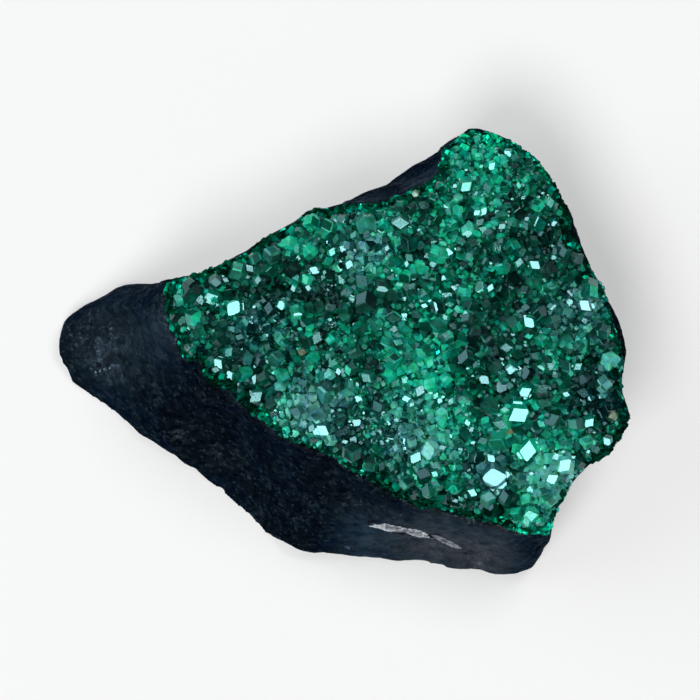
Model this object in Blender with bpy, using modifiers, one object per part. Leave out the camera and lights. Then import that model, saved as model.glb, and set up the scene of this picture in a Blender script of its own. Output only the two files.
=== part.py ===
"""A hand specimen of uvarovite: a crust of green garnet crystals on a broken lump of dark chromite rock.

The lump is lofted from the outline of its foot through the outline of the crust's lower edge. Old blows
have hollowed its sides, its surface is rough, and it is flat underneath. A gently uneven contact surface
divides it: the rock lies below, and the crust above. The larger garnet crystals, rhombic dodecahedra,
stand in the crust and are joined to it.
Lengths are in millimetres where a name ends in MM or mm, and in metres otherwise. The crust faces +Z.
"""
import math
import random

import bmesh
import bpy
from mathutils import Euler, Matrix, Vector, noise
from mathutils.geometry import intersect_point_line

MM = 0.001

# The outline in stations, clockwise from the left tip: foot x, foot y, edge x, edge y, belly (all mm).
# The foot is where the side meets the ground and the edge is where it meets the crust. The belly is how
# far the side swells outward between the two, or hollows inward when it is negative.
LEFT_END_MM = [
    (-20.5, 0.1, -12.5, 2.0, 0.3),
    (-19.4, 2.4, -12.7, 3.4, 0.3),
    (-15.6, 4.3, -12.1, 4.5, 0.2),
]
UPPER_LEFT_SIDE_MM = [
    (-10.2, 4.8, -10.2, 4.9, 0.1),
    (-6.5, 6.4, -6.5, 6.5, 0.1),
    (-2.1, 9.3, -2.1, 9.4, 0.1),
    (2.8, 11.4, 2.9, 10.1, 0.1),
    (6.2, 13.7, 6.3, 11.6, 0.2),
    (7.2, 14.4, 7.0, 13.6, 0.1),
]
UPPER_RIGHT_SIDE_MM = [
    (8.3, 15.0, 8.6, 15.2, 0.0),
    (9.6, 14.4, 9.8, 15.1, -0.3),
    (12.1, 12.4, 12.8, 13.4, 0.2),
    (13.0, 10.8, 14.1, 11.5, 0.3),
    (13.8, 8.4, 15.2, 9.2, -0.2),
    (15.0, 5.0, 16.8, 5.5, 0.2),
]
RIGHT_END_MM = [
    (16.4, 2.2, 18.4, 2.7, 0.4),
    (17.2, -0.6, 19.2, -0.2, 0.3),
    (17.4, -2.6, 18.9, -2.4, -0.2),
    (17.6, -4.9, 19.5, -4.6, 0.1),
    (16.6, -6.8, 17.8, -7.1, 0.3),
    (15.4, -8.6, 15.8, -8.6, 0.1),
    (14.4, -10.8, 14.3, -10.8, 0.2),
    (13.9, -13.2, 13.9, -12.8, 0.2),
]
LOWER_RIGHT_SIDE_MM = [
    (12.7, -15.6, 12.5, -12.6, 0.3),
    (10.4, -15.3, 9.8, -12.0, 0.6),
    (5.6, -14.7, 5.6, -10.9, 0.8),
    (1.0, -14.2, 2.8, -9.8, 0.7),
]
LOWER_LEFT_SIDE_MM = [
    (-3.0, -13.8, 0.1, -8.3, 0.4),
    (-5.2, -12.6, -2.0, -7.3, -0.1),
    (-6.9, -10.9, -4.1, -6.2, -0.3),
    (-9.9, -8.7, -6.7, -4.3, -0.2),
    (-14.9, -5.4, -9.7, -1.4, 0.3),
    (-18.4, -2.1, -11.9, 0.4, 0.4),
]
OUTLINE_MM = (
    LEFT_END_MM + UPPER_LEFT_SIDE_MM + UPPER_RIGHT_SIDE_MM
    + RIGHT_END_MM + LOWER_RIGHT_SIDE_MM + LOWER_LEFT_SIDE_MM
)
# Levels of the loft, with 0 at the ground and 1 at the crust's lower edge.
LOFT_LEVELS = (-0.06, 0.3, 0.62, 1.0, 1.4)

# Hollows that blows left in the sides: a point on the side, the way out of the rock, radius and depth.
SIDE_HOLLOWS_MM = [
    ((-15.5, 0.3, 4.5), (-0.70, -0.35, 0.62), 12.0, 0.5),
    ((-8.2, -6.2, 5.0), (-0.55, -0.68, 0.48), 9.0, 0.8),
    ((6.0, -13.1, 4.5), (0.05, -0.95, 0.30), 10.0, 0.5),
    ((-4.0, 8.1, 4.5), (-0.45, 0.87, -0.20), 8.0, 1.4),
    ((4.5, 12.8, 4.5), (-0.50, 0.85, -0.15), 7.0, 1.0),
    ((13.0, 11.0, 4.0), (0.80, 0.55, -0.25), 7.0, 1.3),
    ((16.0, 5.0, 3.0), (0.90, 0.35, -0.25), 8.0, 1.5),
    ((17.4, -3.0, 3.5), (0.96, -0.10, -0.30), 7.0, 1.4),
    ((15.0, -9.5, 4.0), (0.80, -0.50, -0.30), 6.0, 1.2),
]
FOOT_CHIPS_MM = [
    ((-18.8, 0.5, 0.3), (-0.50, 0.10, -0.86), 4.0, 0.5),
    ((-12.4, -7.2, 0.3), (-0.40, -0.50, -0.76), 7.0, 0.8),
    ((-2.2, -13.5, 0.4), (-0.20, -0.60, -0.77), 6.0, 0.8),
    ((9.6, -15.0, 0.4), (0.20, -0.60, -0.77), 7.0, 0.7),
    ((10.4, 13.2, 0.6), (0.50, 0.50, -0.70), 6.0, 1.3),
]

# The crust's upper face is nearly level: it drops gently towards the upper right.
FACE_HEIGHT_MM = 11.6
FACE_FALL_X = -0.045
FACE_FALL_Y = -0.055
FACE_SWELL_MM = 0.55
FACE_SWELL_SPACING_MM = 9.0

CRUST_THICKNESS_MM = 1.5
CONTACT_UNEVENNESS_MM = 0.35
CONTACT_SPACING_MM = 5.0
GAP_MM = 0.3

# Blocks that divide the lump along an uneven surface, or cut its foot flat.
BLOCK_CELLS = 20
BLOCK_REACH_MM = 25.0
BLOCK_TOP_MM = 26.0
GROUND_DEPTH_MM = 8.0

# The rock's roughness: broad scallops, then small chips.
REMESH_VOXEL_MM = 0.5
SCALLOP_RELIEF_MM = 0.8
SCALLOP_SPACING_MM = 5.0
CHIP_RELIEF_MM = 0.35
CHIP_SPACING_MM = 2.0
POINTS_KEPT = 0.105

CRYSTAL_SEED = 11
CRYSTAL_COUNT = 130
CRYSTAL_TRIES = 6000
CRYSTAL_RADIUS_MM = (0.85, 1.5)
CRYSTAL_SPACING = 1.3
CRYSTAL_SINK = (0.2, 0.45)
CRYSTAL_RIM_MARGIN_MM = 0.6
FLAT_ANGLE = math.radians(1.0)

UVAROVITE_GREEN = (0.012, 0.105, 0.075, 1.0)
CHROMITE_BLACK = (0.012, 0.016, 0.022, 1.0)


def clear_scene():
    """Start from an empty scene."""
    for item in list(bpy.data.objects):
        bpy.data.objects.remove(item)


def new_collection(name):
    """Make a collection in the scene."""
    collection = bpy.data.collections.new(name)
    bpy.context.scene.collection.children.link(collection)
    return collection


def new_object(name, body, collection, parent):
    """Turn a bmesh into a mesh object in a collection, under the specimen's empty."""
    mesh = bpy.data.meshes.new(name)
    bmesh.ops.recalc_face_normals(body, faces=body.faces)
    body.to_mesh(mesh)
    body.free()
    item = bpy.data.objects.new(name, mesh)
    item.parent = parent
    collection.objects.link(item)
    return item


def new_cutter(name, body, collection, parent):
    """A helper solid that shapes others and is no piece of the specimen."""
    item = new_object(name, body, collection, parent)
    item.hide_render = True
    item.display_type = "WIRE"
    return item


def principled(name, color, roughness, metallic):
    """A material with the piece's own colour and gloss."""
    material = bpy.data.materials.new(name)
    material.use_nodes = True
    shader = material.node_tree.nodes["Principled BSDF"]
    shader.inputs["Base Color"].default_value = color
    shader.inputs["Roughness"].default_value = roughness
    shader.inputs["Metallic"].default_value = metallic
    return material


def smooth_noise(x, y, spacing, layer):
    """Smooth noise between about -1 and 1; each layer is a different pattern."""
    return noise.noise(Vector((x / spacing, y / spacing, layer)))


def face_height_mm(x, y):
    """Height of the crust's upper face above the ground, without its crystals."""
    slope = FACE_HEIGHT_MM + FACE_FALL_X * x + FACE_FALL_Y * y
    return slope + FACE_SWELL_MM * smooth_noise(x, y, FACE_SWELL_SPACING_MM, 3.7)


def contact_height_mm(x, y):
    """Height of the surface where the crust grew on the rock."""
    uneven = CONTACT_UNEVENNESS_MM * smooth_noise(x, y, CONTACT_SPACING_MM, 8.2)
    return face_height_mm(x, y) - CRUST_THICKNESS_MM + uneven


def side_point(station, level):
    """A point on the side of the lump at one station."""
    foot_x, foot_y, edge_x, edge_y, belly = station
    foot = Vector((foot_x, foot_y, 0))
    edge = Vector((edge_x, edge_y, contact_height_mm(edge_x, edge_y)))
    outward = Vector((foot_x + edge_x, foot_y + edge_y, 0)).normalized()
    swell = belly * math.sin(math.pi * level) if 0 < level < 1 else 0
    return (foot + (edge - foot) * level + outward * swell) * MM


def lump_body():
    """The whole lump, rock and crust together, reaching a little past its foot and its face."""
    body = bmesh.new()
    rings = []
    for level in LOFT_LEVELS:
        verts = [body.verts.new(side_point(station, level)) for station in OUTLINE_MM]
        rings.append([body.edges.new((verts[i - 1], verts[i])) for i in range(len(verts))])
    for lower, upper in zip(rings, rings[1:]):
        bmesh.ops.bridge_loops(body, edges=lower + upper)
    bmesh.ops.triangle_fill(body, edges=rings[0], use_beauty=True)
    bmesh.ops.triangle_fill(body, edges=rings[-1], use_beauty=True)
    return body


def hollows_body():
    """Balls that each scoop one shallow hollow out of the lump."""
    body = bmesh.new()
    for point, direction, radius, depth in SIDE_HOLLOWS_MM + FOOT_CHIPS_MM:
        centre = Vector(point) + Vector(direction).normalized() * (radius - depth)
        place = Matrix.Translation(centre * MM)
        bmesh.ops.create_icosphere(body, subdivisions=3, radius=radius * MM, matrix=place)
    return body


def block_above(height_mm, lift_mm):
    """Everything above a height function, raised by lift_mm."""
    body = bmesh.new()
    reach = BLOCK_REACH_MM * MM
    bmesh.ops.create_grid(body, x_segments=BLOCK_CELLS, y_segments=BLOCK_CELLS, size=reach)
    for vert in body.verts:
        vert.co.z = (height_mm(vert.co.x / MM, vert.co.y / MM) + lift_mm) * MM
    raised = bmesh.ops.extrude_face_region(body, geom=list(body.faces))
    for item in raised["geom"]:
        if isinstance(item, bmesh.types.BMVert):
            item.co.z = BLOCK_TOP_MM * MM
    return body


def ground_body():
    """A block whose top is the plane that the specimen rests on."""
    body = bmesh.new()
    width = 2 * BLOCK_REACH_MM * MM
    depth = GROUND_DEPTH_MM * MM
    sized = Matrix.Translation((0, 0, -depth / 2)) @ Matrix.Diagonal((width, width, depth, 1))
    bmesh.ops.create_cube(body, size=1.0, matrix=sized)
    return body


def distance_inside_mm(x, y):
    """Distance from a point to the crust's edge in plan; negative outside it."""
    point = Vector((x, y))
    corners = [Vector((station[2], station[3])) for station in OUTLINE_MM]
    nearest = math.inf
    inside = False
    for i, end in enumerate(corners):
        start = corners[i - 1]
        along = intersect_point_line(point, start, end)[1]
        closest = start.lerp(end, min(max(along, 0.0), 1.0))
        nearest = min(nearest, (point - closest).length)
        if (start.y > y) != (end.y > y):
            crossing_x = start.x + (y - start.y) / (end.y - start.y) * (end.x - start.x)
            inside ^= crossing_x > x
    return nearest if inside else -nearest


def has_room(x, y, radius, places):
    """Whether a crystal may stand here beside the ones already placed."""
    for other_x, other_y, other_radius in places:
        if math.dist((x, y), (other_x, other_y)) < CRYSTAL_SPACING * (radius + other_radius) / 2:
            return False
    return distance_inside_mm(x, y) > CRYSTAL_RIM_MARGIN_MM


def crystal_places(rng):
    """Spread crystals over the crust's face: x, y and radius of each."""
    edge_x = [station[2] for station in OUTLINE_MM]
    edge_y = [station[3] for station in OUTLINE_MM]
    places = []
    for _ in range(CRYSTAL_TRIES):
        x = rng.uniform(min(edge_x), max(edge_x))
        y = rng.uniform(min(edge_y), max(edge_y))
        radius = rng.uniform(*CRYSTAL_RADIUS_MM)
        if has_room(x, y, radius, places):
            places.append((x, y, radius))
        if len(places) == CRYSTAL_COUNT:
            break
    return places


def dodecahedron_corners():
    """Corners of a rhombic dodecahedron: the cube's eight, and six at the axes' ends, 1 from the centre."""
    cube = [Vector((x, y, z)) / 2 for x in (-1, 1) for y in (-1, 1) for z in (-1, 1)]
    ends = [Vector(axis) * sign for axis in ((1, 0, 0), (0, 1, 0), (0, 0, 1)) for sign in (-1, 1)]
    return cube + ends


def crystals_body():
    """The larger crystals, each turned its own way and sunk into the crust."""
    rng = random.Random(CRYSTAL_SEED)
    corners = dodecahedron_corners()
    body = bmesh.new()
    for x, y, radius in crystal_places(rng):
        sink = rng.uniform(*CRYSTAL_SINK) * radius
        centre = Vector((x, y, face_height_mm(x, y) - sink))
        turn = Euler([rng.uniform(0, math.tau) for _ in range(3)]).to_matrix()
        verts = [body.verts.new((centre + turn @ corner * radius) * MM) for corner in corners]
        hull = bmesh.ops.convex_hull(body, input=verts)
        edges = [item for item in hull["geom"] if isinstance(item, bmesh.types.BMEdge)]
        bmesh.ops.dissolve_limit(body, angle_limit=FLAT_ANGLE, verts=verts, edges=edges)
    return body


def boolean(item, name, operation, cutter, has_overlaps=False):
    """Cut, keep or join one solid with another, which may be several solids that overlap."""
    modifier = item.modifiers.new(name, "BOOLEAN")
    modifier.operation = operation
    modifier.solver = "EXACT"
    modifier.object = cutter
    modifier.use_self = has_overlaps


def relief(item, name, spacing_mm, strength_mm):
    """Scalloped relief: shallow hollows that meet in ridges."""
    texture = bpy.data.textures.new(name, "CLOUDS")
    texture.noise_basis = "VORONOI_F1"
    texture.noise_scale = spacing_mm * MM
    texture.noise_depth = 1
    modifier = item.modifiers.new(name, "DISPLACE")
    modifier.texture = texture
    modifier.strength = strength_mm * MM


def shape_lump(item, hollows, above_face):
    """Work the plain loft into the broken lump, keeping only the points that its shape needs."""
    boolean(item, "side_hollows", "DIFFERENCE", hollows, has_overlaps=True)
    boolean(item, "face", "DIFFERENCE", above_face)
    remesh = item.modifiers.new("even_faces", "REMESH")
    remesh.mode = "VOXEL"
    remesh.voxel_size = REMESH_VOXEL_MM * MM
    relief(item, "scallops", SCALLOP_SPACING_MM, SCALLOP_RELIEF_MM)
    relief(item, "chips", CHIP_SPACING_MM, CHIP_RELIEF_MM)
    fewer = item.modifiers.new("fewer_points", "DECIMATE")
    fewer.ratio = POINTS_KEPT


def centre_on_origin(holder, pieces):
    """Move the specimen so that its box is centred on X and Y; its foot is at Z = 0 already."""
    graph = bpy.context.evaluated_depsgraph_get()
    corners = []
    for piece in pieces:
        evaluated = piece.evaluated_get(graph)
        corners += [evaluated.matrix_world @ Vector(corner) for corner in evaluated.bound_box]
    for axis in (0, 1):
        values = [corner[axis] for corner in corners]
        holder.location[axis] = -(min(values) + max(values)) / 2


def main():
    """Build the specimen."""
    clear_scene()
    stone = new_collection("uvarovite_specimen")
    cutters = new_collection("cutters")
    holder = bpy.data.objects.new("specimen", None)
    stone.objects.link(holder)

    hollows = new_cutter("side_hollows", hollows_body(), cutters, holder)
    above_face = new_cutter("above_face", block_above(face_height_mm, 0.0), cutters, holder)
    above_rock = new_cutter("above_rock", block_above(contact_height_mm, 0.0), cutters, holder)
    crust_space = new_cutter("crust_space", block_above(contact_height_mm, GAP_MM), cutters, holder)
    ground = new_cutter("ground", ground_body(), cutters, holder)
    crystals = new_cutter("crystals", crystals_body(), cutters, holder)

    rock = new_object("chromite_matrix", lump_body(), stone, holder)
    rock.data.materials.append(principled("chromite", CHROMITE_BLACK, 0.55, 0.3))
    shape_lump(rock, hollows, above_face)
    boolean(rock, "flat_foot", "DIFFERENCE", ground)
    boolean(rock, "rock_below_contact", "DIFFERENCE", above_rock)

    crust = new_object("uvarovite_druse", lump_body(), stone, holder)
    crust.data.materials.append(principled("uvarovite", UVAROVITE_GREEN, 0.15, 0.0))
    shape_lump(crust, hollows, above_face)
    boolean(crust, "crystals_joined", "UNION", crystals, has_overlaps=True)
    boolean(crust, "crust_above_contact", "INTERSECT", crust_space)

    bpy.context.view_layer.update()
    centre_on_origin(holder, (rock, crust))


main()
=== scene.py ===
"""Looks of the uvarovite specimen: green garnet crystals crowded on a broken piece of dark chromite rock.

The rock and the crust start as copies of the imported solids, remeshed finely and given their relief. The
crystals are built from their faces' planes. They stand all over the crust as joined meshes in three sizes,
with one more mesh for the small ones on its side. The camera looks straight down.
Lengths are in millimetres where a name ends in MM or mm, and in metres otherwise.
"""
import itertools
import math

import bpy
import numpy as np
from mathutils import Matrix, Vector, noise
from mathutils.bvhtree import BVHTree


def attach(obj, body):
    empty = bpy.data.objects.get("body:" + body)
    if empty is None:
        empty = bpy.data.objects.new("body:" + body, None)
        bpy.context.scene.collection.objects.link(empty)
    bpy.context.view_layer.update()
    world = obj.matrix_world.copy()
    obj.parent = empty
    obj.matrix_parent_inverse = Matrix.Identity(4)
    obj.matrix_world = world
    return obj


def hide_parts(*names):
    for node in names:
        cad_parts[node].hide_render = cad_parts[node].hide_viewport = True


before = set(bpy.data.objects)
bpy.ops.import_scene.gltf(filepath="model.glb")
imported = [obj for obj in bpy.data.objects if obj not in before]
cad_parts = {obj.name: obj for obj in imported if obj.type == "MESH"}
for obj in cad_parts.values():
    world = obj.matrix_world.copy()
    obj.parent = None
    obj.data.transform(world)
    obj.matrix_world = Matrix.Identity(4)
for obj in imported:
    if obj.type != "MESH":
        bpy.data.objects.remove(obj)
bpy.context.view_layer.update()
MM = 0.001

# The photograph: how its pixels lie on the specimen, which the camera sees from straight above.
PHOTO_MM_PER_PX = 0.30
PHOTO_ORIGIN_PX = (559.8, 346.7)

# The key light's direction, and the way a face looks that shows it to the camera above.
KEY_DIRECTION = (-0.20, -0.40, 1.0)
HALFWAY = (Vector(KEY_DIRECTION).normalized() + Vector((0, 0, 1))).normalized()

ROCK_VOXEL_MM = 0.18
CRUST_VOXEL_MM = 0.22
TILT_HASH = 97.0
# Fractal noise: how fast its finer waves fade, how much finer each is, and how many there are.
FRACTAL = (1.0, 2.0, 3)

# Rays that look for a surface start above the specimen and go down.
RAY_START_MM = 30
DOWN = Vector((0, 0, -1))


def from_photo(x_px, y_px):
    """The place in plan, in mm, of a pixel of the photograph."""
    x_mm = (x_px - PHOTO_ORIGIN_PX[0]) * PHOTO_MM_PER_PX
    y_mm = (PHOTO_ORIGIN_PX[1] - y_px) * PHOTO_MM_PER_PX
    return x_mm, y_mm


def remeshed_copy(node, name, voxel_mm):
    """A fine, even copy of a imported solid, as a new object."""
    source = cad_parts[node]
    piece = bpy.data.objects.new(name, source.data.copy())
    bpy.context.scene.collection.objects.link(piece)
    remesh = piece.modifiers.new("even_faces", "REMESH")
    remesh.mode = "VOXEL"
    remesh.voxel_size = voxel_mm * MM
    graph = bpy.context.evaluated_depsgraph_get()
    mesh = bpy.data.meshes.new_from_object(piece.evaluated_get(graph))
    piece.modifiers.clear()
    piece.data = mesh
    mesh.name = name
    mesh.materials.clear()
    return piece


def points_of(mesh):
    """The mesh's points in mm, and its outward directions there."""
    points = np.empty(len(mesh.vertices) * 3, np.float32)
    normals = np.empty(len(mesh.vertices) * 3, np.float32)
    mesh.vertices.foreach_get("co", points)
    mesh.vertices.foreach_get("normal", normals)
    return points.reshape(-1, 3).astype(float) / MM, normals.reshape(-1, 3).astype(float)


def put_points(mesh, points_mm):
    """Move the mesh's points."""
    mesh.vertices.foreach_set("co", (points_mm * MM).astype(np.float32).ravel())
    mesh.update()


def smoothed(mesh, values, rounds):
    """Values at the mesh's points after each has moved to the mean of its neighbours', some rounds over."""
    edges = np.empty(len(mesh.edges) * 2, np.int32)
    mesh.edges.foreach_get("vertices", edges)
    first, second = edges.reshape(-1, 2).T
    count = np.bincount(np.concatenate((first, second)), minlength=len(values))
    values = values.reshape(len(values), -1)
    for _ in range(rounds):
        total = np.empty_like(values)
        for k in range(values.shape[1]):
            total[:, k] = np.bincount(first, values[second, k], len(values))
            total[:, k] += np.bincount(second, values[first, k], len(values))
        values = (values + total / count[:, None]) / 2
    return values


def nudged(points, nudges):
    """Points moved a little in plan near some places, so that the outline follows the photograph's."""
    for px, reach, move in nudges:
        points[:, :2] += near_place(points, px, reach)[:, None] * np.array(move)
    return points


def tree_of(mesh):
    """A search tree of a mesh, in mm."""
    polygons = [list(polygon.vertices) for polygon in mesh.polygons]
    return BVHTree.FromPolygons(points_of(mesh)[0].tolist(), polygons)


def height_at(tree, x_mm, y_mm):
    """Height of a mesh's top at a place in plan, or None beside it."""
    hit = tree.ray_cast(Vector((x_mm, y_mm, RAY_START_MM)), DOWN)[0]
    return hit.z if hit else None


def soft_step(low, high, value):
    """0 below low, 1 above high, and a smooth climb between them."""
    share = np.clip((value - low) / (high - low), 0, 1)
    return share * share * (3 - 2 * share)


def fractal(points_mm, spacing_mm, shift):
    """Fractal noise at each point, about -1 to 1."""
    offset = Vector((shift, 2 * shift, 3 * shift))
    return np.array([noise.fractal(Vector(p) / spacing_mm + offset, *FRACTAL) for p in points_mm])


def facets(points_mm, spacing_mm, shift):
    """Height, in cells, of a surface broken into flat facets that are each tilted their own way."""
    offset = Vector((shift, 2 * shift, 3 * shift))
    middle = Vector((0.5, 0.5, 0.5))
    heights = []
    for p in points_mm:
        at = Vector(p) / spacing_mm + offset
        centre = noise.voronoi(at)[1][0]
        tilt = 2 * (noise.cell_vector(centre * TILT_HASH) - middle)
        heights.append((at - centre).dot(tilt))
    return np.array(heights)


def near_place(points_mm, px, reach_mm):
    """1 at a pixel's place in plan, falling smoothly to 0 at the reach."""
    distance = np.linalg.norm(np.asarray(points_mm)[..., :2] - np.array(from_photo(*px)), axis=-1)
    return 1 - soft_step(0, reach_mm, distance)


def zone_sum(zones, points_mm):
    """The sum of what the zones say at a place, or at each of many."""
    return sum(change * near_place(points_mm, px, reach) for px, reach, change in zones)


def mark_points(mesh, name, values):
    """A number from 0 to 1 at each of the mesh's points, for its material."""
    layer = mesh.attributes.new(name, "FLOAT", "POINT")
    layer.data.foreach_set("value", np.clip(values, 0, 1).astype(np.float32))


# Rock

# Fracture facets: spacing, depth, pattern, and rounds of smoothing that turn their steps into slopes.
FACET_RELIEF_MM = [(4.6, 0.09, 4.1, 14), (1.6, 0.05, 9.3, 4), (0.6, 0.025, 6.6, 1)]
GRIT_MM, GRIT_DEPTH_MM, GRIT_PATTERN = 0.3, 0.010, 1.7

# Where the outline moves to follow the photograph's: pixel, reach and move in mm.
ROCK_NUDGES = [
    ((493.5, 346), 4.5, (-0.70, 0.0)), ((520, 371), 5.0, (-0.30, -0.50)),
    ((549, 391), 5.5, (-0.15, -0.75)), ((592, 397), 4.5, (0.0, -0.50)),
    ((541, 318), 5.0, (-0.15, 0.30)),
]

# The glossy ledges low on the side that faces the photograph's lower edge, with a painted highlight: line in
# pixels, width in mm and how strong the painted highlight is on each.
LEDGES = [
    ([(563.0, 386.9), (567.5, 387.2), (571.5, 387.9), (576.5, 389.1), (579.6, 390.3)], 0.44, 1.0),
    ([(577.6, 388.9), (580.4, 390.1), (583.0, 391.4), (586.2, 392.7)], 0.32, 0.60),
]
LEDGE_RISER_MM, LEDGE_LEAST_MM = 0.11, 0.02
LEDGE_END_SHARE = 0.30
LEDGE_UNEVEN_MM, LEDGE_UNEVEN = 0.7, 0.35
# How much of a tread a place must be before its painted highlight starts, and where the highlight is full.
LEDGE_HIGHLIGHT_SPAN = (0.5, 1.0)
# The slope, as the upward part of a face's direction, over which the painted highlight fades in on up-facing
# treads.
LEDGE_HIGHLIGHT_UPWARD = (0.35, 0.65)
LEDGE_SAMPLES = 24

# Where the rock is painted paler as painted light, on flanks that catch more light: pixel, reach in mm,
# share.
LIT_PALE_ZONES = [
    ((506, 346), 5.0, 0.50), ((517, 343), 3.0, 0.40), ((564, 390), 3.5, 0.80), ((578, 391), 4.0, 1.00),
    ((591, 394), 4.0, 1.00),
]
# The same painted light on the far side, which stays near the top: it fades over these heights in mm.
FAR_LIT_PALE_ZONES = [((563, 310), 2.6, 0.6), ((576, 304), 3.0, 0.6)]
FAR_LIT_PALE_HEIGHTS_MM = (2.0, 8.5)
# Where the painted light on the paler rock is more grey than blue.
ASH_ZONES = [((576, 391), 5.0, 0.85), ((592, 393), 4.5, 0.85), ((571, 306), 4.0, 0.5)]


def along_line(plan_mm, line_px):
    """For each place in plan: how far along a line its nearest place lies (0 to 1), and the step to it."""
    line = np.array([from_photo(*px) for px in line_px])
    lengths = np.linalg.norm(np.diff(line, axis=0), axis=1)
    starts = np.concatenate(([0], np.cumsum(lengths)))
    gap = np.full(len(plan_mm), np.inf)
    share = np.zeros(len(plan_mm))
    step = np.zeros((len(plan_mm), 2))
    for i, length in enumerate(lengths):
        along = (line[i + 1] - line[i]) / length
        t = np.clip((plan_mm - line[i]) @ along, 0, length)
        away = plan_mm - (line[i] + t[:, None] * along)
        distance = np.linalg.norm(away, axis=1)
        closer = distance < gap
        gap[closer] = distance[closer]
        share[closer] = (starts[i] + t[closer]) / starts[-1]
        step[closer] = away[closer]
    return share, step


def line_heights(tree, line_px):
    """A straight fit to the slope's height along a line: height at its start and at its end."""
    line = np.array([from_photo(*px) for px in line_px])
    lengths = np.linalg.norm(np.diff(line, axis=0), axis=1)
    starts = np.concatenate(([0], np.cumsum(lengths))) / lengths.sum()
    shares = np.linspace(0, 1, LEDGE_SAMPLES)
    heights = []
    for t in shares:
        x, y = (np.interp(t, starts, line[:, k]) for k in range(2))
        heights.append(height_at(tree, x, y))
    climb, start = np.polyfit(shares, heights, 1)
    return start, start + climb


def cut_ledge(points, tree, line_px, width):
    """Turn a narrow band of the slope along a line into a tread that mirrors the key light upward.

    Returns how much of a tread each point is.
    """
    share, step = along_line(points[:, :2], line_px)
    start, end = line_heights(tree, line_px)
    gap = np.linalg.norm(step, axis=1)
    waves = share * len(line_px) / LEDGE_UNEVEN_MM
    uneven = [1 + LEDGE_UNEVEN * noise.noise(Vector((wave, width, 0))) for wave in waves]
    half = width / 2 * soft_step(0, LEDGE_END_SHARE, share)
    half = half * soft_step(0, LEDGE_END_SHARE, 1 - share) * uneven
    level = start + (end - start) * share - step @ np.array(HALFWAY[:2]) / HALFWAY[2]
    tread = (1 - soft_step(half, half + LEDGE_RISER_MM, gap)) * (half > LEDGE_LEAST_MM)
    points[:, 2] += (level - points[:, 2]) * tread
    return tread


def make_rock():
    """The broken lump, with fracture facets, fine grit and the ledges, marked for its painted highlight and
    light.
    """
    piece = remeshed_copy("chromite_matrix", "chromite_rock", ROCK_VOXEL_MM)
    points, normals = points_of(piece.data)
    points = nudged(points, ROCK_NUDGES)
    height = GRIT_DEPTH_MM * fractal(points, GRIT_MM, GRIT_PATTERN)[:, None]
    for spacing, depth, shift, rounds in FACET_RELIEF_MM:
        height += smoothed(piece.data, depth * facets(points, spacing, shift), rounds)
    points += normals * height
    put_points(piece.data, points)
    tree = tree_of(piece.data)
    tread = np.zeros(len(points))
    for line_px, width, highlight_strength in LEDGES:
        ledge_highlight = soft_step(*LEDGE_HIGHLIGHT_SPAN, cut_ledge(points, tree, line_px, width))
        tread = np.maximum(tread, highlight_strength * ledge_highlight)
    points[:, 2] = np.maximum(points[:, 2], 0)
    put_points(piece.data, points)
    # The treads, which the material paints pale where they face up: a painted highlight.
    mark_points(piece.data, "ledge", tread)
    # Where the material paints the rock paler as painted light, near the top on the far side, and where that
    # light is greyer.
    far_lit_pale = zone_sum(FAR_LIT_PALE_ZONES, points) * soft_step(*FAR_LIT_PALE_HEIGHTS_MM, points[:, 2])
    mark_points(piece.data, "pale", zone_sum(LIT_PALE_ZONES, points) + far_lit_pale)
    mark_points(piece.data, "ash", zone_sum(ASH_ZONES, points))
    piece.data.shade_smooth()
    return piece


# Crust

CRUST_SMOOTHING = 10
CRUST_SINK_MM = 0.55
CRUST_SWELL_MM, CRUST_SWELL_DEPTH_MM, CRUST_SWELL_PATTERN = 2.6, 0.45, 5.3
CRUST_FACETS_MM, CRUST_FACET_DEPTH_MM, CRUST_FACET_PATTERN = 0.8, 0.35, 2.9
# The facets' depth on the crust's side, as a share of that on its face.
SIDE_FACET_SHARE = 0.4
# The upward part of a direction over which a place starts to belong to the face, and the downward part over
# which it starts to belong to the underside.
FACE_UPWARD, UNDERSIDE_DOWNWARD = (0.2, 0.8), (0.1, 0.8)
CRUST_NUDGES = [
    ((613, 320), 5.0, (-0.45, -0.20)), ((623, 343), 5.0, (-0.60, 0.0)),
    ((625, 360), 3.5, (-0.40, 0.0)), ((590, 297), 4.0, (-0.10, -0.25)),
    ((541, 318), 5.0, (-0.15, 0.30)), ((616, 373), 3.0, (-0.25, 0.15)),
]
# Hollows between the crystals: pixel of the photograph, reach and depth.
CRUST_PITS = [
    ((581, 331), 1.6, 0.8), ((556, 332), 1.6, 0.8), ((603, 347), 1.5, 0.6), ((576, 377), 1.0, 0.7),
    ((567, 374), 0.9, 0.6),
]


def make_crust():
    """The crust under the crystals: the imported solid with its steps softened, settled on the rock.

    Also returns a map of how far each place on its face lies from the face's rim.
    """
    piece = remeshed_copy("uvarovite_druse", "uvarovite_crust", CRUST_VOXEL_MM)
    points, _ = points_of(piece.data)
    put_points(piece.data, nudged(smoothed(piece.data, points, CRUST_SMOOTHING), CRUST_NUDGES))
    points, normals = points_of(piece.data)
    rim = RimMap(tree_of(piece.data))
    top = soft_step(*FACE_UPWARD, normals[:, 2])
    points[:, 2] -= CRUST_SINK_MM * soft_step(*UNDERSIDE_DOWNWARD, -normals[:, 2])
    for px, reach, depth in CRUST_PITS:
        points[:, 2] -= depth * top * near_place(points, px, reach)
    swell = CRUST_SWELL_DEPTH_MM * fractal(points, CRUST_SWELL_MM, CRUST_SWELL_PATTERN) * top
    broken = CRUST_FACET_DEPTH_MM * facets(points, CRUST_FACETS_MM, CRUST_FACET_PATTERN)
    broken = broken * (SIDE_FACET_SHARE + (1 - SIDE_FACET_SHARE) * top)
    points += normals * (swell + broken)[:, None]
    put_points(piece.data, points)
    # The crust's side, which its material paints darker as painted shade.
    mark_points(piece.data, "side", 1 - top)
    piece.data.shade_smooth()
    return piece, rim


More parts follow.
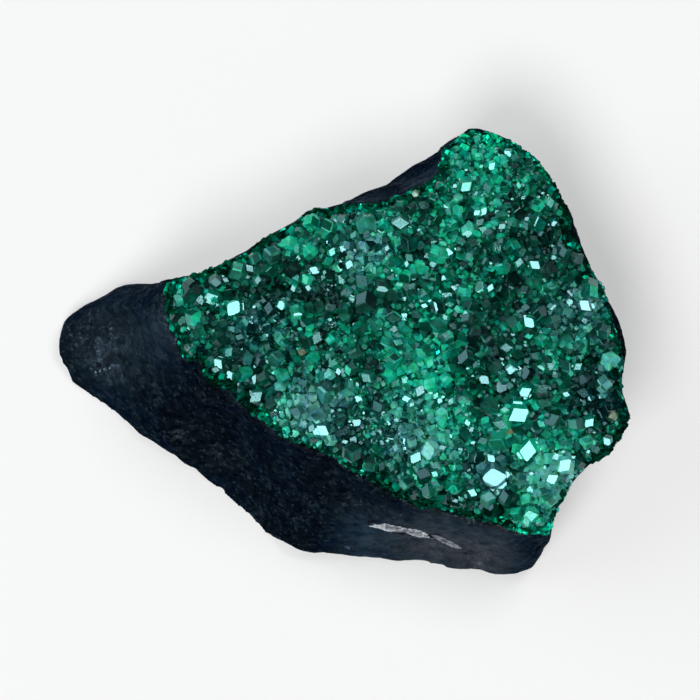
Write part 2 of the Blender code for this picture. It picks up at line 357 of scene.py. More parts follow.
class RimMap:
    """Distance in plan, up to a few cells, from each place on the crust's face to the face's rim."""

    CELL_MM = 0.12
    REACH_CELLS = 10
    SIDE_NORMAL = 0.62
    SPAN_MM = 42.0

    def __init__(self, tree):
        self.count = int(self.SPAN_MM / self.CELL_MM)
        inside = np.zeros((self.count, self.count), bool)
        for i, j in itertools.product(range(self.count), repeat=2):
            x, y = self.place_of(i), self.place_of(j)
            hit, normal, _, _ = tree.ray_cast(Vector((x, y, RAY_START_MM)), DOWN)
            inside[i, j] = hit is not None and normal.z > self.SIDE_NORMAL
        self.cells = np.zeros(inside.shape)
        for _ in range(self.REACH_CELLS):
            self.cells += inside
            shrunk = inside.copy()
            for axis, way in itertools.product((0, 1), (-1, 1)):
                shrunk &= np.roll(inside, way, axis)
            inside = shrunk

    def place_of(self, index):
        return (index + 0.5) * self.CELL_MM - self.SPAN_MM / 2

    def distance(self, place):
        i, j = (int((v + self.SPAN_MM / 2) / self.CELL_MM) for v in place[:2])
        return self.cells[i, j] * self.CELL_MM


# Crystals

RNG = np.random.default_rng(20)
SHAPE_COUNT = 24
UNEVEN_GROWTH = 0.13
BEVEL_AT, BEVEL_UNEVEN = (1.09, 1.17), 0.02
# Three planes meet in a point when their determinant is more than the first; the others are distances.
LEAST_MEETING, ON_PLANE, SAME_CORNER = 1e-4, 1e-6, 2e-3


def signed_axes(pattern):
    """All different orders and signs of three numbers, as unit directions."""
    found = set()
    for order in set(itertools.permutations(pattern)):
        for signs in itertools.product((-1, 1), repeat=3):
            found.add(tuple(s * v for s, v in zip(signs, order)))
    directions = np.array(sorted(found), float)
    return directions / np.linalg.norm(directions, axis=1)[:, None]


def solid_between(normals, distances):
    """Corners and faces of the solid that planes enclose: each plane has a direction and a distance."""
    triples = np.array(list(itertools.combinations(range(len(normals)), 3)))
    systems = normals[triples]
    meet = np.abs(np.linalg.det(systems)) > LEAST_MEETING
    crossings = np.linalg.solve(systems[meet], distances[triples[meet]][..., None])[..., 0]
    crossings = crossings[(crossings @ normals.T <= distances + ON_PLANE).all(axis=1)]
    corners = []
    for crossing in crossings:
        if all(np.linalg.norm(crossing - corner) > SAME_CORNER for corner in corners):
            corners.append(crossing)
    corners = np.array(corners)
    faces, kinds = [], []
    for plane, (normal, distance) in enumerate(zip(normals, distances)):
        on_face = np.flatnonzero(np.abs(corners @ normal - distance) < 2 * SAME_CORNER)
        if len(on_face) < 3:
            continue
        spokes = corners[on_face] - corners[on_face].mean(axis=0)
        side = spokes[0] / np.linalg.norm(spokes[0])
        angles = np.arctan2(spokes @ np.cross(normal, side), spokes @ side)
        faces.append(on_face[np.argsort(angles)])
        kinds.append(plane)
    return corners, faces, kinds


def crystal_shapes(bevelled):
    """Garnet crystals, each grown unevenly: rhombic dodecahedra, with their edges bevelled or sharp."""
    rhombs = signed_axes((1, 1, 0))
    bevels = signed_axes((2, 1, 1))
    shapes = []
    for _ in range(SHAPE_COUNT):
        normals = rhombs
        distances = 1 + RNG.uniform(-1, 1, len(rhombs)) * UNEVEN_GROWTH
        if bevelled:
            normals = np.vstack((rhombs, bevels))
            cut = RNG.uniform(*BEVEL_AT)
            cuts = cut + RNG.uniform(-BEVEL_UNEVEN, BEVEL_UNEVEN, len(bevels))
            distances = np.concatenate((distances, cuts))
        shapes.append(solid_between(normals, distances))
    return shapes


def surface_samples(mesh, count):
    """Random places spread evenly over a mesh, in mm, with the outward direction at each."""
    mesh.calc_loop_triangles()
    corners = np.empty(len(mesh.loop_triangles) * 3, np.int32)
    mesh.loop_triangles.foreach_get("vertices", corners)
    points, normals = points_of(mesh)
    corners = corners.reshape(-1, 3)
    a, b, c = (points[corners[:, k]] for k in range(3))
    size = np.linalg.norm(np.cross(b - a, c - a), axis=1)
    pick = RNG.choice(len(size), count, p=size / size.sum())
    u, v = RNG.random(count), RNG.random(count)
    flip = u + v > 1
    u[flip], v[flip] = 1 - u[flip], 1 - v[flip]
    places = a[pick] + (b - a)[pick] * u[:, None] + (c - a)[pick] * v[:, None]
    return places, normals[corners[pick]].mean(axis=1)


class Spread:
    """Crystals placed so far, so that new ones keep their distance."""

    CELL_MM = 1.7

    def __init__(self):
        self.cells = {}

    def key(self, place):
        return tuple(int(math.floor(v / self.CELL_MM)) for v in place)

    def add(self, place, radius):
        self.cells.setdefault(self.key(place), []).append((place, radius))

    def is_free(self, place, radius, spacing):
        base = self.key(place)
        for step in itertools.product((-1, 0, 1), repeat=3):
            for other, other_radius in self.cells.get(tuple(b + s for b, s in zip(base, step)), ()):
                if math.dist(place, other) < spacing * (radius + other_radius):
                    return False
        return True


def any_turn():
    """A random rotation."""
    q = RNG.normal(size=4)
    w, x, y, z = q / np.linalg.norm(q)
    return np.array([
        [1 - 2 * (y * y + z * z), 2 * (x * y - z * w), 2 * (x * z + y * w)],
        [2 * (x * y + z * w), 1 - 2 * (x * x + z * z), 2 * (y * z - x * w)],
        [2 * (x * z - y * w), 2 * (y * z + x * w), 1 - 2 * (x * x + y * y)],
    ])


# Crystal sizes: piece, radius to its faces in mm, places tried, spacing and how far it stands out (in radii).
CRYSTAL_SIZES = [
    ("garnets_large", (0.38, 0.68), 3600, 0.86, (-0.45, 0.05)),
    ("garnets_middle", (0.23, 0.38), 18000, 0.70, (-0.45, 0.10)),
    ("garnets_small", (0.13, 0.26), 26000, 0.62, (-0.40, 0.20)),
]
# Near the rim of the face, crystals are no larger than this share of the distance to it, plus a little.
RIM_SHARE, RIM_MORE_MM = 0.75, 0.10
# Nearer to the rim than this they also sink in, by up to this share of their radius.
RIM_SINK_MM, RIM_SINK = 0.8, 0.5
# The small crystals on the crust's side: radius, how far they stand out, and the lowest upward part of the
# side's direction that holds them.
SIDE_RADIUS_MM, SIDE_STAND, SIDE_LOWEST = (0.12, 0.28), (-0.75, -0.30), -0.15
SIDE_TRIES, SIDE_SPACING = 26000, 0.6
# Crystals nearer to the rim than this join the duller ones on the side.
RIM_DULL_MM = 0.45
# Crystals are left out when they would be smaller than this share of their piece's least radius.
SMALLEST_SHARE = 0.6
SIZE_PATCH_MM, SIZE_PATCH_CHANGE = 3.0, 0.30

# Places where the photograph shows crystals larger or finer than the rest: pixel, reach in mm, size factor.
SIZE_ZONES = [
    ((600, 371), 5.0, 1.35), ((594, 304), 5.0, 0.65), ((568, 364), 4.0, 0.72), ((546, 344), 5.0, 0.85),
    ((585, 372), 4.0, 0.80),
]

# Facets that catch the light in the photograph: pixel and radius in mm.
GLINTS = [
    ((533.5, 336.9), 0.62), ((530.1, 349.7), 0.42), ((532.4, 352.3), 0.36), ((598.2, 361.2), 0.78),
    ((599.9, 356.0), 0.46), ((592.8, 375.2), 0.82), ((600.4, 369.0), 0.74), ((608.6, 372.6), 0.62),
    ((606.0, 375.8), 0.46), ((602.0, 327.0), 0.46), ((600.6, 340.2), 0.46), ((590.4, 315.0), 0.34),
    ((614.4, 362.9), 0.42), ((591.8, 332.5), 0.30), ((561.8, 358.0), 0.38), ((553.6, 364.6), 0.50),
    ((587.6, 378.9), 0.36), ((613.5, 336.4), 0.50), ((595.8, 301.8), 0.30), ((572.8, 357.6), 0.30),
    ((551.8, 328.4), 0.36), ((544.2, 336.4), 0.34), ((559.6, 327.2), 0.34), ((618.2, 367.2), 0.34),
]

# They, and their parallel neighbours, have one of this many shapes: the ones with the broadest face.
BROAD_SHAPES = 5
GLINT_TONE = 0.6
# A glint has one parallel neighbour for each of these lengths in its radius. The rest is in its radii: how
# far aside the neighbour stands, how much higher or lower, and how large it is.
PARALLEL_FROM_MM = 0.36
NEIGHBOUR_ASIDE, NEIGHBOUR_LIFT, NEIGHBOUR_SIZE = 0.8, (-0.25, 0.05), (0.45, 0.7)

# Crystals of the same patch often grow in parallel: size of a patch, share of its crystals, and their spread.
PARALLEL_PATCH_MM, PARALLEL_SHARE, PARALLEL_SPREAD = 2.0, 0.45, math.radians(7)

# Crystals stained tan: pixel and radius in mm.
STAINED = [((596.0, 365.4), 0.34), ((574.7, 311.2), 0.24), ((548.8, 347.1), 0.24), ((619.6, 361.6), 0.30)]

# Broad patches where the garnet looks lighter or darker: pixel, reach in mm, change of tone.
TONE_ZONES = [
    ((590, 302), 4.0, 0.35),  # the knob at the top
    ((586, 314), 3.0, 0.25),  # below the knob
    ((563, 325), 3.5, 0.35),  # left of the middle, high up
    ((577, 346), 4.5, 0.40),  # the middle
    ((577, 363), 5.5, 0.35),  # the field below the middle
    ((549, 358), 4.0, 0.30),  # along the lower left edge
    ((606, 373), 4.0, 0.45),  # the heap at the lower right
    ((602, 384), 3.5, 0.30),  # the foot of that heap
    ((536, 328), 4.0, -0.25),  # the upper left edge
    ((556, 333), 4.0, -0.30),  # left of the middle
    ((535, 355), 4.0, -0.30),  # the lower left corner
    ((591, 347), 5.0, -0.30),  # right of the middle
    ((606, 322), 5.0, -0.20),  # the upper right flank
    ((617, 360), 4.0, -0.35),  # the right edge
    ((566, 376), 3.5, -0.25),  # the lower edge
]

# Broad patches where the garnet looks greyer and more blue: pixel, reach in mm, share.
GREY_ZONES = [
    ((552, 361), 4.5, 0.80), ((572, 366), 5.0, 0.60), ((562, 324), 3.0, 0.70), ((538, 342), 4.0, 0.60),
    ((592, 375), 2.5, 1.00), ((608, 377), 4.0, 0.70), ((613, 337), 3.5, 0.70), ((617, 356), 4.0, 0.60),
]

ZONE_STRENGTH = 1.25
TONE_MIDDLE, TONE_SPREAD = 0.45, 0.23
TONE_PATCH_MM, TONE_PATCH_CHANGE = 2.4, 0.22
# Painted shade: crystals are darker within this distance of the face's rim, where the crust turns down, by
# this tone.
RIM_SHADE_MM, RIM_SHADE = 1.2, 0.12
GREY_STRENGTH, GREY_LESS = 1.35, 0.07
GREY_PATCH_MM, GREY_PATCH_CHANGE, GREY_SPREAD = 1.5, 0.35, 0.16
FACE_TONE_SPREAD, CORNER_TONE_SPREAD = 0.15, 0.10
# Painted light and shade: tone added per radius that a crystal stands out, taken away where it sinks in.
STAND_LIGHT_SHADE_TONE = 0.25
# Painted highlights: this share of faces is painted lighter by this tone, as flashes of light inside the
# crystal.
PAINTED_FLASH_SHARE, PAINTED_FLASH_TONE = 0.12, 0.36
# Painted highlight: bevel faces are lighter by this tone, as edges that catch the light.
BEVEL_HIGHLIGHT_TONE = 0.12
SPARKLE_PATCH_MM, SPARKLE_FROM, SPARKLE_TO = 1.7, -0.15, 0.22
DULL_CHANCE, DULL_PATCH = 0.40, 0.65
RHOMB_FACES = 12
# Shifts that keep the patterns of chance apart from one another.
TONE_SHIFT, GREY_SHIFT = Vector((7.7, 3.1, 0)), Vector((2.2, 5.9, 0))
SPARKLE_SHIFT, PARALLEL_SHIFT = Vector((1.3, 8.8, 0)), Vector((4.4, 6.1, 0))


def size_factor(place):
    """How large crystals are here, against the usual."""
    factor = 1 + SIZE_PATCH_CHANGE * noise.noise(Vector(place) / SIZE_PATCH_MM)
    for px, reach, size in SIZE_ZONES:
        factor *= 1 + (size - 1) * float(near_place(place, px, reach))
    return factor


class Crystal:
    """One crystal: where it stands, how large it is, how it is turned, and its colour."""

    def __init__(self, centre, radius, turn, tone=None, inward=None, out=0.0, stain=0.0):
        self.centre = centre
        self.radius = radius
        self.turn = turn
        self.stain = stain
        self.inward = inward
        self.shape = int(RNG.integers(SHAPE_COUNT))
        chance = RNG.normal(TONE_MIDDLE, TONE_SPREAD) if tone is None else tone
        tone_patch = TONE_PATCH_CHANGE * noise.noise(Vector(centre) / TONE_PATCH_MM + TONE_SHIFT)
        self.tone = chance + tone_patch + ZONE_STRENGTH * zone_sum(TONE_ZONES, centre)
        # Painted light and shade: crystals that stand out are lighter, sunk ones and those near the rim
        # darker.
        if inward is not None:
            self.tone += STAND_LIGHT_SHADE_TONE * out - RIM_SHADE * float(1 - soft_step(0, RIM_SHADE_MM, inward))
        grey_patch = GREY_PATCH_CHANGE * noise.noise(Vector(centre) / GREY_PATCH_MM + GREY_SHIFT)
        self.grey = GREY_STRENGTH * zone_sum(GREY_ZONES, centre) - GREY_LESS + grey_patch
        self.grey += RNG.normal(0, GREY_SPREAD)
        sparkle = noise.noise(Vector(centre) / SPARKLE_PATCH_MM + SPARKLE_SHIFT)
        dull_patch = float(1 - soft_step(SPARKLE_FROM, SPARKLE_TO, sparkle))
        self.dull = DULL_CHANCE * RNG.random() + DULL_PATCH * dull_patch if tone is None else 0.0


def patch_turn(place):
    """A rotation near the one that a patch's crystals share."""
    centre = noise.voronoi(Vector(place) / PARALLEL_PATCH_MM + PARALLEL_SHIFT)[1][0]
    chance = noise.cell_vector(centre * TILT_HASH)
    around, lift, spin = math.tau * chance[0], math.acos(2 * chance[1] - 1), math.tau * chance[2]
    axis = Vector((math.sin(lift) * math.cos(around), math.sin(lift) * math.sin(around), math.cos(lift)))
    shared = Matrix.Rotation(spin, 3, axis)
    small = Vector(RNG.normal(0, PARALLEL_SPREAD, 3))
    return np.array(Matrix.Rotation(small.length, 3, small.normalized()) @ shared)


def turn_to(direction, face):
    """A rotation that brings a crystal's face direction onto a direction, spun at random about it."""
    swing = Vector(face).rotation_difference(Vector(direction)).to_matrix()
    spin = Matrix.Rotation(RNG.uniform(0, math.tau), 3, Vector(direction))
    return np.array(spin @ swing)


def broad_shapes(shapes):
    """The shapes whose last rhomb face is the broadest of all."""
    sizes = []
    for corners, sides, kinds in shapes:
        ring = corners[sides[kinds.index(RHOMB_FACES - 1)]]
        spokes = ring[1:] - ring[0]
        sizes.append(np.linalg.norm(np.cross(spokes[:-1], spokes[1:]).sum(axis=0)))
    return np.argsort(sizes)[-BROAD_SHAPES:]


def glint_crystals(tree, spread, shapes):
    """Crystals with a face turned so that the key light shows in it; the larger have parallel neighbours."""
    face = signed_axes((1, 1, 0))[-1]
    broad = broad_shapes(shapes)
    crystals = []
    for px, radius in GLINTS:
        x, y = from_photo(*px)
        height = height_at(tree, x, y)
        if height is None:
            continue
        centre = np.array((x, y, height))
        turn = turn_to(HALFWAY, face)
        spread.add(centre, radius)
        crystals.append(Crystal(centre, radius, turn, tone=GLINT_TONE))
        crystals[-1].shape = int(RNG.choice(broad))
        for _ in range(int(radius / PARALLEL_FROM_MM)):
            angle = RNG.uniform(0, math.tau)
            aside = np.array((math.cos(angle), math.sin(angle), RNG.uniform(*NEIGHBOUR_LIFT)))
            aside = aside * radius * NEIGHBOUR_ASIDE
            smaller = radius * RNG.uniform(*NEIGHBOUR_SIZE)
            spread.add(centre + aside, smaller)
            crystals.append(Crystal(centre + aside, smaller, turn, tone=GLINT_TONE))
            crystals[-1].shape = int(RNG.choice(broad))
    return crystals


def stained_crystals(tree, spread):
    """The few crystals with a tan stain."""
    crystals = []
    for px, radius in STAINED:
        x, y = from_photo(*px)
        centre = np.array((x, y, height_at(tree, x, y)))
        spread.add(centre, radius)
        crystals.append(Crystal(centre, radius, any_turn(), stain=1.0))
    return crystals


def spaced_crystals(samples, rim, spread, radius_range, spacing, stand):
    """Crystals at the samples that leave room between neighbours."""
    crystals = []
    for place, normal in zip(*samples):
        inward = rim.distance(place)
        if inward <= 0 or normal[2] < 0:
            continue
        radius = min(RNG.uniform(*radius_range) * size_factor(place), RIM_SHARE * inward + RIM_MORE_MM)
        if radius < SMALLEST_SHARE * radius_range[0]:
            continue
        out = RNG.uniform(*stand) - RIM_SINK * float(1 - soft_step(0, RIM_SINK_MM, inward))
        centre = place + normal * radius * out
        if spread.is_free(centre, radius, spacing):
            spread.add(centre, radius)
            turn = patch_turn(place) if RNG.random() < PARALLEL_SHARE else any_turn()
            crystals.append(Crystal(centre, radius, turn, inward=inward, out=out))
    return crystals


def side_crystals(samples, rim, spread):
    """Small crystals, half grown in, on the crust's side."""
    crystals = []
    for place, normal in zip(*samples):
        if rim.distance(place) > 0 or normal[2] < SIDE_LOWEST:
            continue
        radius = RNG.uniform(*SIDE_RADIUS_MM)
        out = RNG.uniform(*SIDE_STAND)
        centre = place + normal * radius * out
        if spread.is_free(centre, radius, SIDE_SPACING):
            spread.add(centre, radius)
            crystals.append(Crystal(centre, radius, any_turn(), inward=0.0, out=out))
    return crystals


def crystal_mesh(name, crystals, shapes):
    """One mesh of many crystals: a tone at each face's corner, and its greyness, dullness and stain."""
    verts, faces, tones, greys, dulls, stains = [], [], [], [], [], []
    start = 0
    for crystal in crystals:
        corners, sides, kinds = shapes[crystal.shape]
        verts.append(corners @ crystal.turn.T * crystal.radius + crystal.centre)
        faces += [(side + start).tolist() for side in sides]
        tone = crystal.tone + RNG.normal(0, FACE_TONE_SPREAD, len(sides))
        # Painted highlights: a few faces flash lighter, and the bevels are lighter.
        tone += PAINTED_FLASH_TONE * (RNG.random(len(sides)) < PAINTED_FLASH_SHARE)
        tone += BEVEL_HIGHLIGHT_TONE * (np.array(kinds) >= RHOMB_FACES)
        tone = np.repeat(tone, [len(side) for side in sides])
        tones.append(tone + RNG.normal(0, CORNER_TONE_SPREAD, len(tone)))
        greys.append(np.full(len(sides), crystal.grey))
        dulls.append(np.full(len(sides), crystal.dull))
        stains.append(np.full(len(sides), crystal.stain))
        start += len(corners)
    mesh = bpy.data.meshes.new(name)
    mesh.from_pydata((np.vstack(verts) * MM).tolist(), [], faces)
    marks = {"tone": tones, "grey": greys, "dull": dulls, "stain": stains}
    for mark, values in marks.items():
        layer = mesh.attributes.new(mark, "FLOAT", "CORNER" if mark == "tone" else "FACE")
        layer.data.foreach_set("value", np.clip(np.concatenate(values), 0, 1).astype(np.float32))
    mesh.update()
    piece = bpy.data.objects.new(name, mesh)
    bpy.context.scene.collection.objects.link(piece)
    return piece


# Materials

class Graph:
    """Short calls for building a node material."""

    def __init__(self, name):
        self.material = bpy.data.materials.new(name)
        self.material.use_nodes = True
        self.tree = self.material.node_tree
        self.shader = self.tree.nodes["Principled BSDF"]

    def node(self, kind, inputs=(), **settings):
        made = self.tree.nodes.new(kind)
        for key, value in settings.items():
            setattr(made, key, value)
        for key, value in dict(inputs).items():
            self.put(made.inputs[key], value)
        return made

    def put(self, socket, value):
        if isinstance(value, bpy.types.NodeSocket):
            self.tree.links.new(value, socket)
        else:
            socket.default_value = value

    def shade(self, **values):
        for key, value in values.items():
            self.put(self.shader.inputs[key.replace("_", " ")], value)

    def place(self):
        return self.node("ShaderNodeTexCoord").outputs["Object"]

    def noise(self, size_mm, detail):
        inputs = {"Vector": self.place(), "Scale": 1 / (size_mm * MM), "Detail": detail, "Roughness": 0.5}
        return self.node("ShaderNodeTexNoise", inputs).outputs["Fac"]

    def cells(self, size_mm):
        """Cells about this far apart, each with a random colour and a centre."""
        inputs = {"Vector": self.place(), "Scale": 1 / (size_mm * MM)}
        return self.node("ShaderNodeTexVoronoi", inputs).outputs

    def chance(self, size_mm):
        """A random number for each cell."""
        return self.node("ShaderNodeSeparateColor", {"Color": self.cells(size_mm)["Color"]}).outputs["Red"]

    def facets(self, size_mm):
        """Height, in metres, of flat facets that are each tilted their own way."""
        cells = self.cells(size_mm)
        from_centre = self.vector("SUBTRACT", self.place(), cells["Position"])
        tilt = self.vector("SUBTRACT", cells["Color"], (0.5, 0.5, 0.5))
        height = self.node("ShaderNodeVectorMath", {0: from_centre, 1: tilt}, operation="DOT_PRODUCT")
        return height.outputs["Value"]

    def upward(self):
        """The upward part of each face's direction."""
        normal = self.node("ShaderNodeNewGeometry").outputs["True Normal"]
        return self.node("ShaderNodeSeparateXYZ", {"Vector": normal}).outputs["Z"]

    def attribute(self, name):
        return self.node("ShaderNodeAttribute", attribute_name=name).outputs["Fac"]

    def ramp(self, value, stops):
        made = self.node("ShaderNodeValToRGB", {"Fac": value})
        elements = made.color_ramp.elements
        while len(elements) < len(stops):
            elements.new(0.5)
        for element, (position, color) in zip(elements, stops):
            element.position = position
            element.color = (*color, 1)
        return made.outputs["Color"]

    def scale(self, value, low, high, to_low, to_high):
        inputs = {"Value": value, "From Min": low, "From Max": high, "To Min": to_low, "To Max": to_high}
        return self.node("ShaderNodeMapRange", inputs).outputs["Result"]

    def mix(self, share, a, b):
        made = self.node("ShaderNodeMix", data_type="RGBA")
        self.put(made.inputs["Factor"], share)
        self.put(made.inputs[6], a)
        self.put(made.inputs[7], b)
        return made.outputs[2]

    def bump(self, height, distance, strength, normal=None):
        inputs = {"Strength": strength, "Distance": distance, "Height": height}
        if normal is not None:
            inputs["Normal"] = normal
        return self.node("ShaderNodeBump", inputs).outputs["Normal"]

    def vector(self, operation, a, b):
        return self.node("ShaderNodeVectorMath", {0: a, 1: b}, operation=operation).outputs["Vector"]

    def scaled(self, color, factor):
        made = self.node("ShaderNodeVectorMath", {0: color, "Scale": factor}, operation="SCALE")
        return made.outputs["Vector"]

    def math(self, operation, a, b):
        return self.node("ShaderNodeMath", {0: a, 1: b}, operation=operation).outputs["Value"]


# The garnet's colour from its darkest tone to its lightest, pure and where it is grey.
EMERALD = [
    (0.0, (0.0000, 0.008, 0.005)),
    (0.30, (0.0002, 0.061, 0.034)),
    (0.55, (0.0006, 0.161, 0.100)),
    (0.80, (0.0030, 0.370, 0.236)),
    (1.0, (0.0120, 0.720, 0.450)),
]
TEAL = [
    (0.0, (0.0001, 0.010, 0.010)),
    (0.30, (0.0025, 0.054, 0.057)),
    (0.55, (0.0200, 0.140, 0.148)),
    (0.80, (0.0850, 0.310, 0.322)),
    (1.0, (0.2100, 0.600, 0.620)),
]
# Small changes inside it: towards yellow-green or blue-green, and how dark and light it gets.
GARNET_CAST = [(0.36, (0.90, 0.91, 0.67)), (0.64, (0.90, 0.88, 1.00))]
GARNET_SHADE = (0.73, 1.50)
TAN = [(0.3, (0.10, 0.14, 0.075)), (0.7, (0.40, 0.46, 0.28))]


def garnet_color(g, tone, grey, light):
    """The garnet's own colour for a tone from 0 to 1: emerald, or where it is grey more of a blue-green."""
    emerald = g.ramp(tone, EMERALD)
    teal = g.ramp(tone, TEAL)
    shade = g.scale(g.noise(0.35, 3.0), 0.3, 0.7, *(light * v for v in GARNET_SHADE))
    cast = g.ramp(g.noise(0.55, 2.0), GARNET_CAST)
    return g.scaled(g.vector("MULTIPLY", g.mix(grey, emerald, teal), cast), shade)


GARNET_IOR = 1.86
GARNET_GLOSS_TINT = (0.43, 0.93, 1.0, 1)
# The green gleam of the broken sides, which stay dark where they are seen at a grazing angle.
SIDE_GLEAM, SIDE_EDGE_TINT = 0.35, (0.20, 0.35, 0.33, 1)


def crystal_material():
    """Glassy garnet crystals, deep green and a little see-through, each face with a tone of its own."""
    g = Graph("uvarovite_crystals")
    dull = g.scale(g.attribute("dull"), 0.0, 1.0, 0.0, 0.24)
    tan = g.ramp(g.noise(0.2, 2.0), TAN)
    garnet = garnet_color(g, g.attribute("tone"), g.attribute("grey"), 1.0)
    g.shade(
        Base_Color=g.mix(g.attribute("stain"), garnet, tan),
        Roughness=g.math("ADD", g.scale(g.noise(0.7, 2.0), 0.3, 0.7, 0.03, 0.10), dull),
        IOR=GARNET_IOR,
        Specular_Tint=GARNET_GLOSS_TINT,
        Transmission_Weight=0.4,
        Normal=g.bump(g.noise(0.16, 2.0), 0.012 * MM, 0.5),
    )
    return g.material


def side_crystal_material():
    """The duller crystals low on the crust's side, darker by the painted shade in their tone."""
    g = Graph("uvarovite_side_crystals")
    g.shade(
        Base_Color=garnet_color(g, g.attribute("tone"), g.attribute("grey"), 1.15),
        Roughness=g.scale(g.noise(0.5, 2.0), 0.3, 0.7, 0.22, 0.42),
        Metallic=SIDE_GLEAM,
        Specular_IOR_Level=0.0,
        Specular_Tint=SIDE_EDGE_TINT,
        Normal=g.bump(g.noise(0.16, 2.0), 0.012 * MM, 0.5),
    )
    return g.material


def crust_material():
    """The massive green garnet between and under the crystals, granular where it is broken."""
    g = Graph("uvarovite_mass")
    # Painted shade: the crust's side is darker than its face, which looks up to the light.
    side = g.scale(g.attribute("side"), 0.2, 0.9, 0.0, 0.22)
    tone = g.math("SUBTRACT", g.scale(g.chance(0.45), 0.0, 1.0, 0.12, 0.55), side)
    grey = g.scale(g.noise(2.5, 2.0), 0.45, 0.7, 0.0, 0.5)
    g.shade(
        Base_Color=garnet_color(g, tone, grey, 0.8),
        Roughness=g.scale(g.noise(0.5, 2.0), 0.3, 0.7, 0.40, 0.65),
        Metallic=SIDE_GLEAM,
        Specular_IOR_Level=0.0,
        Specular_Tint=SIDE_EDGE_TINT,
        Normal=g.bump(g.facets(0.4), 1.2, 1.0),
    )
    return g.material


# The rock's colours, from its darkest grains to its palest.
ROCK_GRAINS = [
    (0.0, (0.0042, 0.0070, 0.0098)),
    (0.6, (0.0098, 0.0160, 0.0212)),
    (1.0, (0.0320, 0.0470, 0.0600)),
]
ROCK_BLUE, ROCK_FLECK = (0.0075, 0.0165, 0.0300, 1), (0.060, 0.085, 0.110, 1)
# The colours of the painted light on the paler flanks: blue, and grey.
LIT_PALE_BLUE, LIT_PALE_ASH = (0.044, 0.069, 0.098, 1), (0.086, 0.096, 0.108, 1)
# The ledges' painted highlight.
LEDGE_HIGHLIGHT_COLOR = (0.66, 0.70, 0.76, 1)
ROCK_GLOSS_TINT = (0.33, 0.38, 0.44, 1)


def chromite_material():
    """Dark broken chromite, half-metallic: fine grains, a blue cast, painted light, glossy ledges with
    painted highlights.
    """
    g = Graph("chromite")
    grain = g.math("MULTIPLY", g.chance(0.32), g.scale(g.noise(1.8, 3.0), 0.35, 0.65, 0.55, 1.0))
    ledge = g.attribute("ledge")
    smooth = g.scale(ledge, 0.2, 0.8, 1.0, 0.0)
    fleck = g.scale(g.chance(0.16), 0.92, 0.97, 0.0, 1.0)
    base = g.ramp(grain, ROCK_GRAINS)
    blue = g.scale(g.noise(3.5, 2.0), 0.45, 0.7, 0.0, 0.6)
    cast = g.mix(blue, base, ROCK_BLUE)
    patchy = g.scale(g.noise(0.8, 4.0), 0.32, 0.68, 0.45, 1.25)
    # Painted light on the paler flanks, in patches, greyer where marked.
    painted_light_color = g.mix(g.attribute("ash"), LIT_PALE_BLUE, LIT_PALE_ASH)
    cast = g.mix(g.math("MULTIPLY", g.attribute("pale"), patchy), cast, painted_light_color)
    cast = g.mix(g.math("MULTIPLY", fleck, 0.45), cast, ROCK_FLECK)
    # Painted highlight: the treads turn pale where they face up; the coat adds real gloss there.
    tread = g.scale(ledge, 0.25, 0.95, 0.0, 1.0)
    tread = g.math("MULTIPLY", tread, g.scale(g.upward(), *LEDGE_HIGHLIGHT_UPWARD, 0.0, 1.0))
    ledge_highlight = g.math("MULTIPLY", tread, g.scale(g.noise(0.25, 3.0), 0.35, 0.6, 0.80, 1.0))
    rough = g.scale(g.noise(0.3, 4.0), 0.3, 0.7, 0.42, 0.68)
    fine = g.bump(g.facets(0.17), 0.45, smooth)
    g.shade(
        Base_Color=g.mix(ledge_highlight, cast, LEDGE_HIGHLIGHT_COLOR),
        Metallic=g.math("SUBTRACT", 1.0, ledge_highlight),
        Roughness=g.math("SUBTRACT", rough, g.math("MULTIPLY", fleck, 0.15)),
        Specular_Tint=ROCK_GLOSS_TINT,
        Coat_Weight=ledge_highlight,
        Coat_Roughness=0.22,
        Coat_IOR=1.6,
        Normal=g.bump(g.facets(0.45), 0.9, smooth, fine),
    )
    return g.material


# The whole specimen

rock = make_rock()
crust, rim = make_crust()
crust_tree = tree_of(crust.data)
shapes_by_piece = {
    "garnets_large": crystal_shapes(bevelled=True),
    "garnets_middle": crystal_shapes(bevelled=False),
    "garnets_small": crystal_shapes(bevelled=False),
}
spread = Spread()
green = crystal_material()
garnets, low = [], []
for name, radius_range, tries, spacing, stand in CRYSTAL_SIZES:
    crystals = []
    if not garnets:
        crystals += glint_crystals(crust_tree, spread, shapes_by_piece[name])
        crystals += stained_crystals(crust_tree, spread)
    samples = surface_samples(crust.data, tries)
    for crystal in spaced_crystals(samples, rim, spread, radius_range, spacing, stand):
        (crystals if crystal.inward > RIM_DULL_MM else low).append(crystal)
    piece = crystal_mesh(name, crystals, shapes_by_piece[name])
    piece.data.materials.append(green)
    garnets.append(piece)
low += side_crystals(surface_samples(crust.data, SIDE_TRIES), rim, spread)
piece = crystal_mesh("garnets_side", low, shapes_by_piece["garnets_small"])
piece.data.materials.append(side_crystal_material())
garnets.append(piece)
crust.data.materials.append(crust_material())
rock.data.materials.append(chromite_material())

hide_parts("chromite_matrix")
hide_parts("uvarovite_druse")
for piece in (rock, crust, *garnets):
    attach(piece, "root")


# Studio

FLOOR_REACH = 6.0
FLOOR_COLOR, FLOOR_GLOW = (0.495, 0.492, 0.490, 1), 0.360
CAMERA_LENS_MM, SENSOR_MM = 500.0, 36.0
CAMERA_CLIP = (0.01, 50)
VIEW_WIDTH_MM = 48.0
FOCUS_HEIGHT_MM = 8.0

# Each light: name, direction, size, radiance and colour.
LIGHTS = [
    ("key", KEY_DIRECTION, 0.50, 11.0, (1.0, 0.995, 0.98)),
    ("second_key", (0.36, 0.45, 1.0), 0.38, 10.0, (1.0, 0.995, 0.98)),
    ("window", (-0.9, 0.35, 0.8), 0.95, 2.0, (0.93, 0.97, 1.0)),
]
LIGHT_DISTANCE = 1.0
# The surround's colour near the horizon and from there up, each with the height where it starts.
SURROUND = [(0.06, (0.90, 0.90, 0.89)), (0.20, (0.022, 0.047, 0.056))]


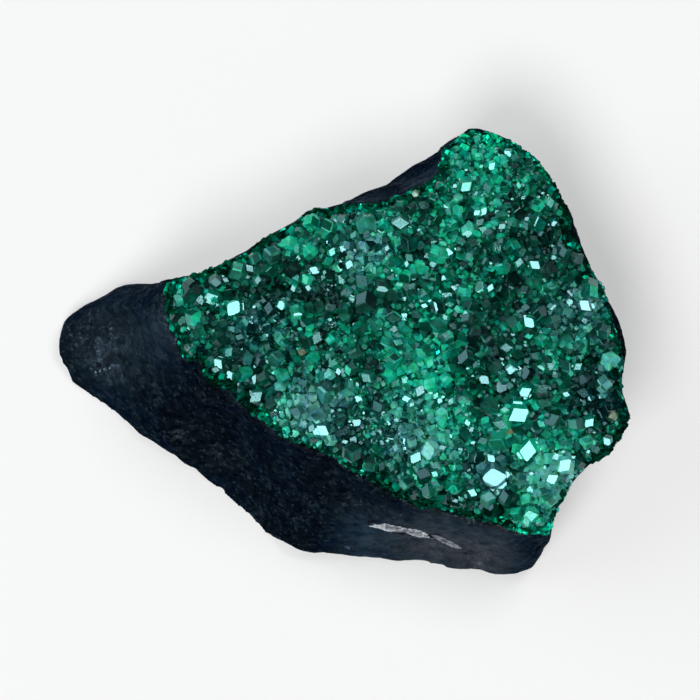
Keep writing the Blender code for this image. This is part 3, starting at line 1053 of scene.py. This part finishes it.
def make_floor():
    """A plain pale floor under the specimen, which glows faintly like a light table."""
    mesh = bpy.data.meshes.new("floor")
    corners = [(x * FLOOR_REACH, y * FLOOR_REACH, 0) for x, y in ((-1, -1), (1, -1), (1, 1), (-1, 1))]
    mesh.from_pydata(corners, [], [(0, 1, 2, 3)])
    floor = bpy.data.objects.new("floor", mesh)
    bpy.context.scene.collection.objects.link(floor)
    g = Graph("floor")
    g.shade(Base_Color=FLOOR_COLOR, Roughness=0.9, Specular_IOR_Level=0.1)
    g.shade(Emission_Color=(1.0, 1.0, 0.995, 1), Emission_Strength=FLOOR_GLOW)
    mesh.materials.append(g.material)


def area_light(name, direction, size, radiance, color):
    """A round soft light in a direction, facing the specimen, as bright as its radiance says."""
    data = bpy.data.lights.new(name, "AREA")
    data.shape = "DISK"
    data.size = size
    data.color = color
    data.energy = radiance * math.pi * math.pi * (size / 2) ** 2
    light = bpy.data.objects.new(name, data)
    bpy.context.scene.collection.objects.link(light)
    toward = Vector(direction).normalized()
    light.location = toward * LIGHT_DISTANCE
    light.rotation_euler = toward.to_track_quat("Z", "Y").to_euler()


def make_world():
    """A dim, slightly blue surround that brightens towards the horizon, like a pale room."""
    world = bpy.data.worlds.new("surround")
    bpy.context.scene.world = world
    world.use_nodes = True
    tree = world.node_tree
    background = tree.nodes["Background"]
    place = tree.nodes.new("ShaderNodeTexCoord")
    split = tree.nodes.new("ShaderNodeSeparateXYZ")
    ramp = tree.nodes.new("ShaderNodeValToRGB")
    tree.links.new(place.outputs["Generated"], split.inputs["Vector"])
    tree.links.new(split.outputs["Z"], ramp.inputs["Fac"])
    tree.links.new(ramp.outputs["Color"], background.inputs["Color"])
    for element, (height, color) in zip(ramp.color_ramp.elements, SURROUND):
        element.position = height
        element.color = (*color, 1)


def make_camera():
    """A long lens straight above the specimen."""
    data = bpy.data.cameras.new("camera")
    data.lens = CAMERA_LENS_MM
    data.sensor_width = SENSOR_MM
    camera = bpy.data.objects.new("camera", data)
    bpy.context.scene.collection.objects.link(camera)
    distance_mm = VIEW_WIDTH_MM * CAMERA_LENS_MM / SENSOR_MM
    camera.location = (0, 0, (distance_mm + FOCUS_HEIGHT_MM) * MM)
    data.clip_start, data.clip_end = CAMERA_CLIP
    bpy.context.scene.camera = camera


make_floor()
for light_values in LIGHTS:
    area_light(*light_values)
make_world()
make_camera()
view = bpy.context.scene.view_settings
view.view_transform = "Standard"
view.look = "None"
view.exposure = 0.0
